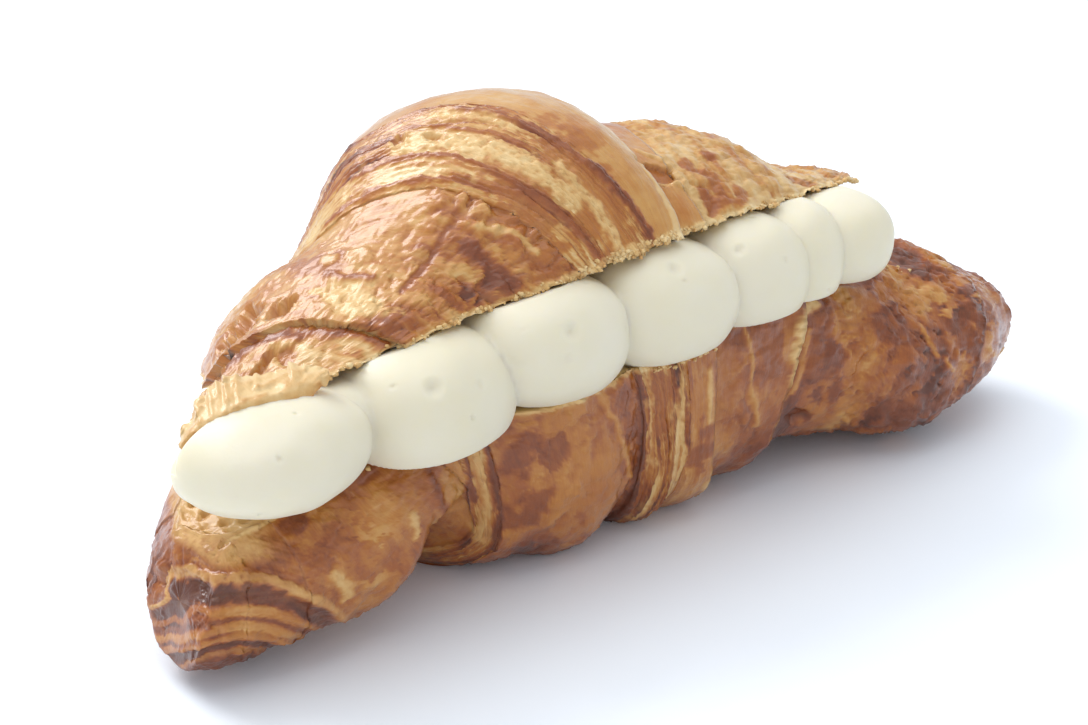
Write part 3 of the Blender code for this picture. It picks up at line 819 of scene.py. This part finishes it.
def lip_edges(skin):
    """Let the higher wrap hang a little over the lower one at each edge."""
    for number in range(len(skin.bands) - 1):
        last = np.nonzero(skin.number[:, 0] == number)[0][-1]
        rise = skin.rest + skin.relief
        drop = np.convolve(rise[last] - rise[last + 1], np.full(13, 1 / 13), "same") * 0.5
        for row, share in enumerate((1.0, 0.6, 0.25)):
            skin.station[last - row] += np.clip(drop, 0, 0.9) * share
            skin.station[last + 1 + row] -= np.clip(-drop, 0, 0.9) * share


def trim(skin, reach, seed):
    """Torn crumb, the frayed and bare cut, and the lips of the wraps."""
    add_crumb(skin, seed)
    fray_cut(skin, reach, seed + 6)
    bare_cut(skin, seed + 10)
    lip_edges(skin)


# Meshes.


def add_object(name, data):
    """Object in the scene for a mesh, a light or a camera."""
    item = bpy.data.objects.new(name, data)
    bpy.context.scene.collection.objects.link(item)
    return item


def make_object(name, points, faces, tones):
    """Mesh object from millimetre points, with its tones stored on the points."""
    data = bpy.data.meshes.new(name)
    data.from_pydata((points - np.array([CENTRE_X, CENTRE_Y, 0.0])) * MM, [], faces)
    data.validate()
    for label, values in tones.items():
        kind, part = ("FLOAT_VECTOR", "vector") if values.ndim == 2 else ("FLOAT", "value")
        layer = data.attributes.new(label, kind, "POINT")
        layer.data.foreach_set(part, values.astype(np.float32).ravel())
    data.shade_smooth()
    return add_object(name, data)


def tube_faces(rings, count):
    """Quads between closed rings, and a fan over each end."""
    grid = np.arange(rings * count).reshape(rings, count)
    ahead = np.roll(grid, -1, axis=1)
    quads = np.stack([grid[:-1], grid[1:], ahead[1:], ahead[:-1]], -1)
    faces = list(quads.reshape(-1, 4))
    tip = rings * count
    for a, b, c, d in zip(grid[0], ahead[0], grid[-1], ahead[-1]):
        faces += [np.array([tip, a, b]), np.array([tip + 1, d, c])]
    return faces


def close_tube(*layers):
    """Values of the rings one after the other, then the mean of each end ring."""
    closed = []
    for values in layers:
        tips = [values[0].mean(0), values[-1].mean(0)]
        closed.append(np.concatenate([values.reshape(-1, *values.shape[2:]), tips]))
    return closed


def round_ends(skin, x, y, z, relief, domes):
    """Draw the end rings in over each end, raised by their relief."""
    back = x.shape[1] - skin.count
    weights = np.concatenate([
        np.gradient(skin.spread) * FACE_WEIGHTS[0], np.full(back, FACE_WEIGHTS[1] / back),
    ])
    for side, dome in zip((-1, 1), domes):
        rows = np.nonzero(skin.side == side)[0]
        ring = rows[-1] + 1 if side < 0 else rows[0] - 1
        draw = np.cos(skin.turn[rows])
        rise = np.sin(skin.turn[rows]) * (dome + side * relief[rows])
        for part, grow in ((x, rise), (y, 0), (z, 0)):
            centre = np.average(part[ring], weights=weights)
            part[rows] = centre + (part[rows] - centre) * draw + grow
    return x, y, z


def crumb_relief(x, y, seed):
    """Open pores of a cut crumb, always sunk into the dough."""
    first, _, owner = cells(x / 2.6, y / 2.2, 0 * x, seed)
    pore = smooth((0.5 - first) * 3) * (0.3 + owner)
    return 1.3 * pore + 0.25 * np.abs(layered(x / 0.9, y / 0.9, 0 * x, seed + 7, 3))


def lid_shape(skin, relief, pores):
    """Closed rings of the lid: over the top, then back under the cut."""
    n = skin.count
    x, y, z = roll_point(
        skin.station[:, :n], skin.angle[:, :n], relief[:, :n] * np.cos(skin.turn))
    ux, _ = between(x[:, -1:], x[:, :1], LID_UNDER)
    uy, fade = between(y[:, -1:], y[:, :1], LID_UNDER)
    uz = cut_height(ux) + pores * crumb_relief(ux, uy, 61) * fade
    x, y, z = lift(*(np.concatenate(pair, 1) for pair in ((x, ux), (y, uy), (z, uz))))
    return round_ends(skin, x, y, z, relief, LID_DOMES), np.ones_like(ux)


def base_shape(skin, relief, pores):
    """Closed rings of the base: round the sole, then back over the cut face."""
    n = skin.count
    x, y, z = roll_point(skin.station, skin.angle, relief * np.cos(skin.turn))
    _, fade = between(z[:, n - 1:n], z[:, :1], BASE_OVER)
    cut = cut_floor(x[:, n:], y[:, n:])
    pale = smooth((z[:, n:] - cut) / 0.6)
    sunk = pores * crumb_relief(x[:, n:], y[:, n:], 161) * pale * fade
    z[:, n:] = np.minimum(z[:, n:], cut) - sunk
    x, y, z = round_ends(skin, x, y, z, relief, BASE_DOMES)
    return (x, y, z), pale * smooth((z[:, n:] - 21.0) / 1.5)


def finish_crust(name, skin, shape):
    """Mesh of a crust from its finished skin, and the points of its rings."""
    middle = unit((skin.turn - 0.9) / 0.4)  # even the relief toward the middle of each end
    for part in (skin.relief, skin.rest):
        for side in (-1, 1):
            rows = skin.side == side
            held = part[rows & (skin.turn[:, 0] > 1.1)].mean()
            part[rows] += (held - part[rows]) * middle[rows]
    points = np.stack(shape(skin, skin.rest + skin.relief, 1.0)[0], -1)
    flat, *tones = close_tube(
        points, unit(skin.toast), unit(skin.crumb),
        np.stack([skin.across, skin.arc, 9.0 * skin.cut], -1))
    tones = dict(zip(("toast", "crumb", "wrap"), tones))
    return make_object(name, flat, tube_faces(*points.shape[:2]), tones), points


def build_lid():
    share = np.linspace(0, 1, LID_ROUND)
    spread = 1 - (share + 0.35 * share * (1 - share))
    skin = Skin(LID_EDGES, LID_BANDS, LID_BULGES, level, *LID_SEARCH, spread,
                LID_CAPS, LID_UNDER, (0, 360))
    skin.settle(*lid_shape(skin, skin.rest, 0.0))
    top = smooth((skin.angle - 116) / 12)
    skin.toast += 0.12 * top * (skin.number == 1)
    add_mottle(skin, 11)
    blistered = (skin.number == 1) * (0.35 + 0.65 * top) + (skin.number == 5) * 0.7
    blistered = blistered + (skin.number == 0) * 0.6
    bake(skin, blistered, ((0.7, 0.16), (0.3, 0.08)), 0.14, LID_PATCHES, LID_LINES, 11)
    torn_tip = smooth((-62 - skin.station) / 4) * smooth((skin.angle - 140) / 10)
    skin.mix(torn_tip * 0.8 * smooth(1.2 - skin.edge / 4.5), 0.25, 0.9)
    trim(skin, 2.3, 47)
    return finish_crust("lid_crust", skin, lid_shape)


def build_base():
    share = np.linspace(0, 1, BASE_ROUND)
    spread = share - 0.42 * share * (1 - share)
    skin = Skin(BASE_EDGES, BASE_BANDS, BASE_BULGES, cut_floor, *BASE_SEARCH, spread,
                BASE_CAPS, BASE_OVER, (-360, 0))
    skin.settle(*base_shape(skin, skin.rest, 0.0))
    skin.rest += fold_relief(skin.x, skin.y, skin.z)
    end = unit(1 - (skin.station - curve(*NEAR_END)(skin.angle)) / END_ROUND)
    skin.rest -= END_TUCK * end**2 * (skin.station < 0)
    add_mottle(skin, 111)
    skin.toast += 0.1 * smooth((skin.angle - 205) / 35) * smooth((330 - skin.angle) / 30)
    plain = 1 - unit(skin.leaf / 0.5)
    skin.toast += 0.12 * smooth((-62 - skin.x) / 12)
    plain = plain * (0.7 + 0.6 * smooth((skin.x - 36) / 8))
    bake(skin, plain, ((0.5, 0.18), (0.2, 0.06)), 0.2, BASE_PATCHES, BASE_LINES, 111)
    draw_folds(skin, 145)
    tip_top = smooth((-76 - skin.x) / 5) * smooth((skin.z - 20.5) / 2)
    skin.mix(tip_top * 0.75, 0.34, 0.7)
    trim(skin, 1.8, 147)
    under = smooth((skin.angle - 238) / 10) * smooth((302 - skin.angle) / 10)
    skin.relief *= 1 - 0.85 * under
    return finish_crust("base_crust", skin, base_shape)


# Crumbs and torn flakes.


def flake(width, thick, back, path, seed):
    """Thin ragged sheet along a path, tapered to both ends: rings, and how low."""
    points = np.array(path, float)
    steps = np.linspace(0, len(points) - 1, 12 * len(points))
    middle = np.stack([curve(range(len(points)), points[:, k])(steps) for k in range(3)], -1)
    ahead = np.gradient(middle, axis=0)
    out = np.array(FLAKE_FACING)
    side = np.cross(ahead, out)
    side /= np.linalg.norm(side, axis=1)[:, None]
    normal = np.cross(side, ahead)
    normal /= np.linalg.norm(normal, axis=1)[:, None]
    share = np.linspace(0.04, 0.98, len(steps))
    taper = np.sin(np.pi * share**1.2) ** 0.6
    turns = np.linspace(0, 2 * np.pi, 48, endpoint=False)
    flat = 0 * turns[None, :] + 0 * steps[:, None]
    low = np.cos(turns) + flat
    ragged = 1 + 0.45 * layered(steps[:, None] * 1.9 + flat, np.sign(low), flat, seed, 3)
    wide = width * 0.5 * taper[:, None] * low * ragged
    drawn = unit(-low) * taper[:, None]
    run = (wide - drawn * np.linalg.norm(back)) / 1.2
    rough = 0.45 * layered(steps[:, None] * 2.2 + flat, run, flat + 5.0, seed + 9, 3)
    deep = thick * 0.5 * taper[:, None] * np.sin(turns) + rough - 0.2 * wide * wide / width
    rings = middle[:, None] + side[:, None] * wide[..., None] + normal[:, None] * deep[..., None]
    rings += drawn[..., None] * np.array(back)
    return rings, low + 2 * rough


def lump(centre, size, seed):
    """Small uneven crumb as closed rings."""
    turns = np.linspace(0, 2 * np.pi, 8, endpoint=False)
    lean = np.linspace(0.25, np.pi - 0.25, 5)
    x = np.sin(lean)[:, None] * np.cos(turns)
    y = np.sin(lean)[:, None] * np.sin(turns)
    z = np.cos(lean)[:, None] + 0 * turns
    grow = size * (1 + 0.45 * noise(x * 1.7, y * 1.7, z * 1.7, seed))
    return centre + np.stack([x, y, z * 0.8], -1) * grow[..., None]


def build_bits(name, flakes, spans, points, column, seed):
    """One mesh of the torn flakes and loose crumbs of a crust."""
    random = np.random.default_rng(seed)
    shells = []
    for width, thick, toast, crumb, back, path in flakes:
        rings, low = flake(width, thick, back, path, seed + len(shells))
        shells.append((rings, toast + 0.16 * low, crumb * smooth(1.3 - low)))
    stations = points[:, column, 0]
    for start, stop, count in spans:
        rows = np.nonzero((stations > start) & (stations < stop))[0]
        for _ in range(count):
            row = random.choice(rows)
            near = abs(column - int(5 * random.random() ** 2))
            size = 0.16 + 0.4 * random.random() ** 2
            place = points[row, near] + (random.random(3) - 0.5) * size
            rings = lump(place, size, int(random.integers(1 << 20)))
            flat = 0 * rings[..., 0]
            shells.append((rings, flat + 0.5 * random.random(), flat + 0.9))
    closed, faces, total = [], [], 0
    for shell in shells:
        closed.append(close_tube(*shell))
        faces += [face + total for face in tube_faces(*shell[1].shape)]
        total += len(closed[-1][0])
    flat, toast, crumb = (np.concatenate(part) for part in zip(*closed))
    tones = {"toast": unit(toast), "crumb": unit(crumb), "wrap": flat}
    return make_object(name, flat, faces, tones)


# The cream.


def bulb_inside(x, y, z):
    """Less than one inside any bulb."""
    nearest = np.full(np.broadcast(x, y).shape, FAR)
    for bx, by, bz, length, depth, height, yaw in BULBS:
        c = math.cos(math.radians(yaw))
        s = math.sin(math.radians(yaw))
        along = ((x - bx) * c + (y - by) * s) / length
        across = ((y - by) * c - (x - bx) * s) / depth
        up = (z - bz) / height
        size = np.abs(along) ** BULB_POWER + np.abs(across) ** BULB_POWER
        size = (size + np.abs(up) ** BULB_POWER) ** (1 / BULB_POWER)
        nearest = np.minimum(nearest, size)
    return nearest


def bulb_reach(bulb):
    """How far a bulb reaches along X from its centre."""
    power = BULB_POWER / (BULB_POWER - 1)
    along = abs(bulb[3] * math.cos(math.radians(bulb[6]))) ** power
    across = abs(bulb[4] * math.sin(math.radians(bulb[6]))) ** power
    return (along + across) ** (1 / power)


def cream_dents(x, y, z):
    """Dimples and small bubbles, as depth into the cream."""
    total = 0.0 * x
    for place, radius, depth in DIMPLES:
        far = np.sqrt((x - place[0]) ** 2 + (y - place[1]) ** 2 + (z - place[2]) ** 2) / radius
        total = total + depth * (np.exp(-far**2 * 1.6) - 0.09 * np.exp(-(far - 1.3)**2 * 6))
    small = cells(x / 3.4, y / 3.4, z / 3.4, 227)
    return total + 0.3 * smooth((0.16 - small[0]) * 12) * (small[2] > 0.75)


def build_cream():
    near = BULBS[0][0] - bulb_reach(BULBS[0]) + 0.1
    far = BULBS[-1][0] + bulb_reach(BULBS[-1]) - 0.1
    share = np.linspace(0, 1, CREAM_RINGS)
    share = share - 0.6 * np.sin(2 * math.pi * share) / (2 * math.pi)
    x = (near + (far - near) * share)[:, None]
    centres = [bulb[0] for bulb in BULBS]
    core_y = curve(centres, [bulb[1] for bulb in BULBS])(x)
    core_z = curve(centres, [bulb[2] for bulb in BULBS])(x)
    core_y = core_y + CORE_SLOPE * np.minimum(x - centres[0], 0.0)
    angles = np.radians(np.linspace(90, 270, BULB_STEPS))[None, :]
    low = np.zeros((len(x), BULB_STEPS))
    high = np.full((len(x), BULB_STEPS), float(BULB_FAR))

    def around(reach):
        return core_y + reach * np.cos(angles), core_z + reach * np.sin(angles)

    for _ in range(BULB_HALVINGS):
        middle = (low + high) / 2
        inside = bulb_inside(x, *around(middle)) < 1
        low = np.where(inside, middle, low)
        high = np.where(inside, high, middle)
    end = np.minimum(x - near, far - x) + 0.1
    reach = np.maximum(low, FILL * np.sqrt(np.minimum(end / FILL_END, 1.0)))
    y, z = around(reach)
    wave = layered(x / 9 + 0 * y, y / 9, z / 9, 211, 2) * 0.25
    reach = reach + wave - cream_dents(x + 0 * y, y, z)
    y, z = around(reach)
    floor = cut_floor(x, y) + GAP
    ahead = np.maximum(lid_front(x) - LIP - y, 0.0)
    ceiling = lid_ceiling(x, y) - GAP + 2.5 * ahead
    z = np.minimum(np.maximum(z, floor), np.maximum(ceiling, floor + 0.6))
    back = np.minimum(spine(x) + half_width(x) * 0.55, WEDGE_BACK)
    back = core_y + (back - core_y) * np.sqrt(np.minimum(end / 14.0, 1.0))
    back = np.maximum(back, core_y + reach[:, :1] * 0.7)
    run = core_y + (back - core_y) * np.array(WEDGE_RUN)[None, :]
    blunt = np.maximum(1 - end / BLUNT_REACH, 0.0)
    shrink = (1 - np.array(WEDGE_RUN) ** BULB_POWER) ** (1 / BULB_POWER)
    shrink = 1 - blunt * (1 - shrink[None, :])
    bed = cut_floor(x, run) + GAP
    roof = lid_ceiling(x, run) - GAP
    mid = np.clip(core_z, bed + THIN, np.maximum(roof - THIN, bed + THIN))
    under = np.maximum(bed, mid + (z[:, -1:] - core_z) * shrink)
    under = np.minimum(under, mid - THIN)
    over = np.minimum(roof, mid + (z[:, :1] - core_z) * shrink)
    over = np.maximum(over, mid + THIN)
    y = np.concatenate([y, run, run[:, ::-1]], 1)
    z = np.concatenate([z, under, over[:, ::-1]], 1)
    x = x + 0 * y
    flat, tone = close_tube(np.stack([x, y, z], -1), layered(x / 7, y / 7, z / 7, 229, 3))
    return make_object("piped_cream", flat, tube_faces(*x.shape), {"tone": tone})


# Materials.


def new_material(name):
    material = bpy.data.materials.new(name)
    material.use_nodes = True
    tree = material.node_tree
    coords = tree.nodes.new("ShaderNodeTexCoord").outputs["Object"]
    return material, tree, tree.nodes["Principled BSDF"], coords


def set_inputs(tree, node, inputs):
    """Give each input of a node a socket to follow or a steady value."""
    for name, value in inputs.items():
        if isinstance(value, bpy.types.NodeSocket):
            tree.links.new(value, node.inputs[name])
        else:
            node.inputs[name].default_value = value


def add_node(tree, kind, inputs, **settings):
    """Shader node of a kind, with its inputs and its settings."""
    node = tree.nodes.new("ShaderNode" + kind)
    for name, value in settings.items():
        setattr(node, name, value)
    set_inputs(tree, node, inputs)
    return node


def add_bump(tree, shader, strength, distance, height):
    inputs = {"Strength": strength, "Distance": distance, "Height": height}
    set_inputs(tree, shader, {"Normal": add_node(tree, "Bump", inputs).outputs["Normal"]})


def attribute(tree, label, output="Fac"):
    return add_node(tree, "Attribute", {}, attribute_name=label).outputs[output]


def maths(tree, operation, *values, clamp=False):
    """Math node on sockets or numbers."""
    inputs = dict(enumerate(values))
    return add_node(tree, "Math", inputs, operation=operation, use_clamp=clamp).outputs[0]


def noise_node(tree, vector, scale, detail, roughness=0.55):
    inputs = {"Vector": vector, "Scale": scale, "Detail": detail, "Roughness": roughness}
    return add_node(tree, "TexNoise", inputs).outputs["Fac"]


def ramp(tree, factor, stops):
    node = add_node(tree, "ValToRGB", {"Fac": factor})
    elements = node.color_ramp.elements
    while len(elements) < len(stops):
        elements.new(0.5)
    for element, (place, colour) in zip(elements, stops):
        element.position = place
        element.color = (*colour, 1.0)
    return node.outputs["Color"]


CRUST_STOPS = (
    (0.0, (0.67, 0.445, 0.19)),
    (0.25, (0.55, 0.285, 0.078)),
    (0.45, (0.44, 0.162, 0.024)),
    (0.65, (0.32, 0.085, 0.012)),
    (0.82, (0.205, 0.046, 0.009)),
    (1.0, (0.105, 0.024, 0.007)),
)
CRUMB_STOPS = (
    (0.0, (0.81, 0.62, 0.33)),
    (0.35, (0.7, 0.45, 0.175)),
    (0.7, (0.52, 0.26, 0.08)),
    (1.0, (0.34, 0.14, 0.04)),
)
CREAM_STOPS = ((0.0, (0.72, 0.655, 0.475)), (1.0, (0.75, 0.695, 0.57)))
FLOOR_STOPS = ((0.0, (0.89, 0.925, 0.985)), (1.0, (0.91, 0.945, 0.995)))


def crust_material(name, shade, sheen):
    """Glazed crust: toast from golden to red-brown, with matt crumb where torn."""
    material, tree, shader, coords = new_material(name)
    wrap = attribute(tree, "wrap", "Vector")
    toast = attribute(tree, "toast")
    crumb = attribute(tree, "crumb")
    along = {0: wrap, 1: (1.0, 0.12, 1.0)}
    along = add_node(tree, "VectorMath", along, operation="MULTIPLY").outputs[0]
    streaks = noise_node(tree, along, 2.4, 4.0)
    specks = noise_node(tree, coords, 700.0, 4.0, 0.62)
    patches = noise_node(tree, coords, 170.0, 3.0, 0.5)
    wrinkles = noise_node(tree, coords, 420.0, 6.0, 0.62)
    tone = maths(tree, "MULTIPLY_ADD", streaks, 0.16, -0.08 + shade)
    speckle = maths(tree, "MULTIPLY_ADD", specks, 0.2, -0.1)
    soft = maths(tree, "MULTIPLY_ADD", patches, 0.22, -0.11)
    tone = maths(tree, "ADD", maths(tree, "ADD", tone, speckle), soft)
    tone = maths(tree, "ADD", tone, toast, clamp=True)
    torn = maths(tree, "MULTIPLY_ADD", speckle, 1.6, crumb, clamp=True)
    crust = ramp(tree, tone, CRUST_STOPS)
    colour = {"Factor": torn, "A": crust, "B": ramp(tree, tone, CRUMB_STOPS)}
    rough = maths(tree, "MULTIPLY_ADD", torn, 0.44, 0.24)
    set_inputs(tree, shader, {
        "Base Color": add_node(tree, "Mix", colour, data_type="RGBA").outputs["Result"],
        "Roughness": maths(tree, "MULTIPLY_ADD", patches, 0.22, rough),
        "Specular IOR Level": 0.28,
        "Coat Weight": 0.52,
        "Coat Roughness": 0.16,
        "Sheen Weight": sheen,
        "Sheen Roughness": 0.35,
    })
    add_bump(tree, shader, 0.45, 0.0005, maths(tree, "MULTIPLY_ADD", streaks, 0.5, wrinkles))
    return material


def cream_material():
    """Soft ivory cream that lets light in, with a faint yellow-green depth."""
    material, tree, shader, coords = new_material("cream_filling")
    tone = attribute(tree, "tone")
    fine = noise_node(tree, coords, 900.0, 4.0)
    mix = maths(tree, "MULTIPLY_ADD", tone, 0.25, 0.35)
    mix = maths(tree, "MULTIPLY_ADD", fine, 0.2, mix, clamp=True)
    set_inputs(tree, shader, {
        "Base Color": ramp(tree, mix, CREAM_STOPS),
        "Roughness": maths(tree, "MULTIPLY_ADD", fine, 0.14, 0.32),
        "Subsurface Weight": 0.5,
        "Subsurface Radius": (1.0, 0.85, 0.5),
        "Subsurface Scale": 0.003,
        "Specular IOR Level": 0.35,
    })
    add_bump(tree, shader, 0.12, 0.0003, fine)
    return material


# Stage, lights and camera.
TARGET = Vector((-14.69, -6.741, 30.0)) * MM
AZIMUTH = -36.0
ELEVATION = 22.0
DISTANCE = 0.35
LENS = 66.6
FLOOR_HALF = 4.0


def add_floor():
    ticks = [(k / 4 - 1) * FLOOR_HALF for k in range(9)]
    points = [(x, y, 0.0) for x in ticks for y in ticks]
    faces = [(k, k + 9, k + 10, k + 1) for k in range(72) if k % 9 < 8]
    data = bpy.data.meshes.new("floor")
    data.from_pydata(points, [], faces)
    material, tree, shader, coords = new_material("floor_card")
    colour = ramp(tree, noise_node(tree, coords, 30.0, 2.0), FLOOR_STOPS)
    set_inputs(tree, shader, {"Base Color": colour, "Roughness": 0.55})
    data.materials.append(material)
    add_object("floor", data)


def add_light(name, place, aim, size, power, colour):
    data = bpy.data.lights.new(name, "AREA")
    data.shape = "RECTANGLE"
    data.size, data.size_y = size
    data.energy = power
    data.color = colour
    item = add_object(name, data)
    item.location = place
    item.rotation_euler = (Vector(aim) - Vector(place)).to_track_quat("-Z", "Y").to_euler()


def add_lights():
    world = bpy.data.worlds.new("studio")
    bpy.context.scene.world = world
    world.use_nodes = True
    sky = world.node_tree.nodes["Background"]
    sky.inputs["Color"].default_value = (0.88, 0.94, 1.0, 1.0)
    sky.inputs["Strength"].default_value = 0.84
    aim = (0.0, 0.0, 0.03)
    add_light("key", (-0.25, 0.75, 0.75), aim, (0.6, 0.5), 7.2, (0.99, 0.99, 1.0))
    add_light("top", (-0.1, 0.05, 1.0), aim, (1.2, 1.2), 4.6, (0.98, 0.99, 1.0))
    add_light("fill", (-0.8, -0.8, 0.45), aim, (0.9, 0.9), 0.9, (1.0, 0.99, 0.98))


def add_camera():
    azimuth = math.radians(AZIMUTH)
    elevation = math.radians(ELEVATION)
    back = Vector((
        math.sin(azimuth) * math.cos(elevation),
        -math.cos(azimuth) * math.cos(elevation),
        math.sin(elevation),
    ))
    data = bpy.data.cameras.new("camera")
    data.sensor_width = 36.0
    data.lens = LENS
    data.clip_start = 0.01
    camera = add_object("camera", data)
    camera.location = TARGET + back * DISTANCE
    camera.rotation_euler = back.to_track_quat("Z", "Y").to_euler()
    bpy.context.scene.camera = camera


def place(item, material, node, slot):
    """Give a piece its finish, and let it stand for its solid."""
    item.data.materials.append(material)
    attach(item, "root")
    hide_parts(node)


def main():
    lid, lid_points = build_lid()
    base, base_points = build_base()
    lid_finish = crust_material("lid_crust", 0.02, 0.22)
    base_finish = crust_material("base_crust", 0.06, 0.0)
    place(lid, lid_finish, "croissant_lid", "lid_crust")
    place(base, base_finish, "croissant_base", "base_crust")
    lid_bits = build_bits("lid_crumbs", LID_FLAKES, LID_CRUMBS, lid_points, LID_ROUND - 1, 301)
    base_bits = build_bits("base_crumbs", BASE_FLAKES, BASE_CRUMBS, base_points, 0, 302)
    place(lid_bits, lid_finish, "croissant_lid", "lid_crust")
    place(base_bits, base_finish, "croissant_base", "base_crust")
    place(build_cream(), cream_material(), "cream", "cream")
    add_floor()
    add_lights()
    add_camera()
    bpy.context.scene.view_settings.view_transform = "Standard"


main()
